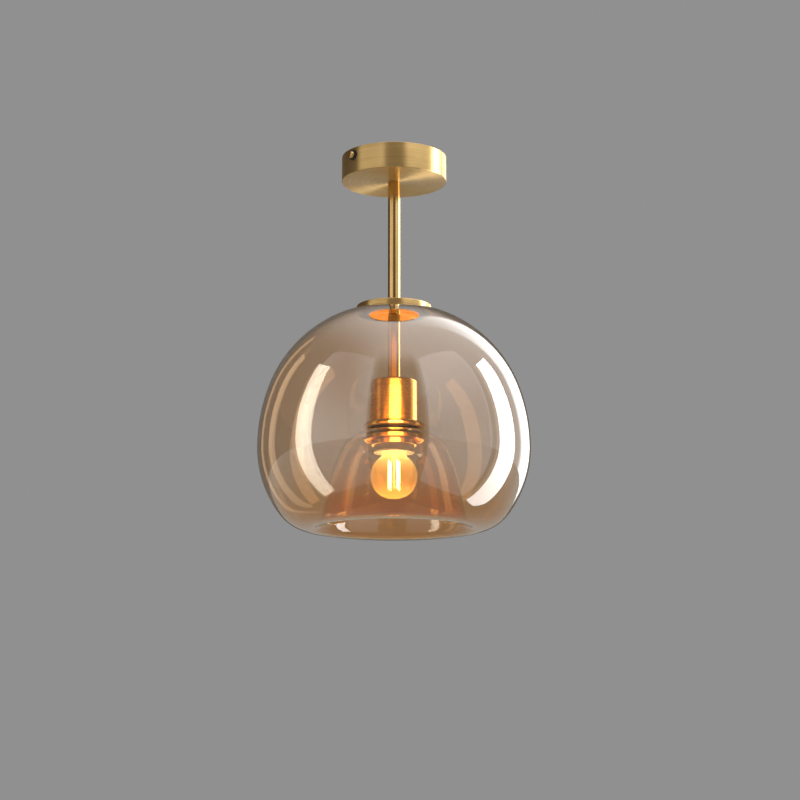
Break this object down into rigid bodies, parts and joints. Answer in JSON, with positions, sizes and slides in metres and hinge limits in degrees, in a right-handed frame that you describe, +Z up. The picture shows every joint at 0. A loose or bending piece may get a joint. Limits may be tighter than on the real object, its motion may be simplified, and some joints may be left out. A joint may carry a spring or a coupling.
{
  "type": "semi flush ceiling light",
  "caption": "Semi flush ceiling light: brass canopy and short stem carrying an amber glass globe shade with an inner bell around a small screw-in globe bulb.",
  "frame": {"origin": "middle of the ceiling plane, on the flat top of the mounting bracket and level with the canopy's open rim", "axes": "+Z points up into the ceiling along the stem; the ceiling bracket and the two side screws lie along X"},
  "size_m": [0.2602, 0.2602, 0.3665],
  "materials": {
    "brushed_brass": "brushed brass, satin, lacquered",
    "polished_brass": "smooth satin brass",
    "amber_glass": "clear blown amber glass, glossy both sides",
    "black_rubber": "matt black rubber",
    "silicone": "translucent milky silicone",
    "zinc_steel": "zinc plated steel",
    "terminal_plastic": "matt white plastic",
    "holder_phenolic": "pale glazed insulator",
    "contact_brass": "bare spring brass",
    "bulb_glass": "clear thin glass",
    "bulb_cap_brass": "rolled brass thread",
    "cap_glass": "black vitreous insulator",
    "solder": "tinned contact",
    "filament_phosphor": "lit phosphor coated filament",
    "support_wire": "thin nickel wire",
    "wire_brown": "brown insulated wire",
    "wire_blue": "blue insulated wire",
    "wire_earth": "green and yellow insulated wire"
  },
  "bodies": {
    "fixture": {"canopy": "brushed_brass", "mounting_bracket": "zinc_steel", "earth_screw": "contact_brass", "earth_lug": "zinc_steel", "terminal_block": "terminal_plastic", "terminal_screws": "zinc_steel", "nipple_canopy": "zinc_steel", "nipple_cap": "zinc_steel", "nipple_holder": "zinc_steel", "lock_washers": "zinc_steel", "hex_nuts": "zinc_steel", "stem_upper": "brushed_brass", "cap_spacer": "brushed_brass", "stem_lower": "brushed_brass", "shade_cap": "brushed_brass", "guide_disc": "polished_brass", "cap_gasket": "silicone", "gasket_upper": "black_rubber", "lampholder_cup": "brushed_brass", "clamp_flange": "polished_brass", "lampholder_body": "holder_phenolic", "socket_shell": "contact_brass", "centre_contact": "contact_brass", "holder_terminals": "contact_brass", "live_wire": "wire_brown", "neutral_wire": "wire_blue", "earth_wire": "wire_earth"},
    "bulb": {"bulb_envelope": "bulb_glass", "bulb_cap": "bulb_cap_brass", "bulb_insulator": "cap_glass", "bulb_contact": "solder", "bulb_mount": "bulb_glass", "bulb_filaments": "filament_phosphor", "bulb_supports": "support_wire"},
    "shade": {"glass_bell": "amber_glass", "glass_globe": "amber_glass"},
    "shade_ring": {"shade_ring": "polished_brass", "gasket_lower": "black_rubber"},
    "screw_left": {"canopy_screw_left": "polished_brass", "canopy_washer_left": "black_rubber"},
    "screw_right": {"canopy_screw_right": "polished_brass", "canopy_washer_right": "black_rubber"}
  },
  "joints": [
    {"name": "bulb_unscrew", "type": "slide", "parent": "fixture", "child": "bulb", "axis": [0, 0, -1], "range_m": [0, 0.03]},
    {"name": "shade_lower", "type": "slide", "parent": "fixture", "child": "shade", "axis": [0, 0, -1], "range_m": [0, 0.01]},
    {"name": "ring_lower", "type": "slide", "parent": "fixture", "child": "shade_ring", "axis": [0, 0, -1], "range_m": [0, 0.01]},
    {"name": "screw_left_out", "type": "slide", "parent": "fixture", "child": "screw_left", "axis": [-1, 0, 0], "range_m": [0, 0.008]},
    {"name": "screw_right_out", "type": "slide", "parent": "fixture", "child": "screw_right", "axis": [1, 0, 0], "range_m": [0, 0.008]}
  ],
  "couplings": [
    {"joint": "ring_lower", "follows": "shade_lower", "ratio": 1}
  ]
}
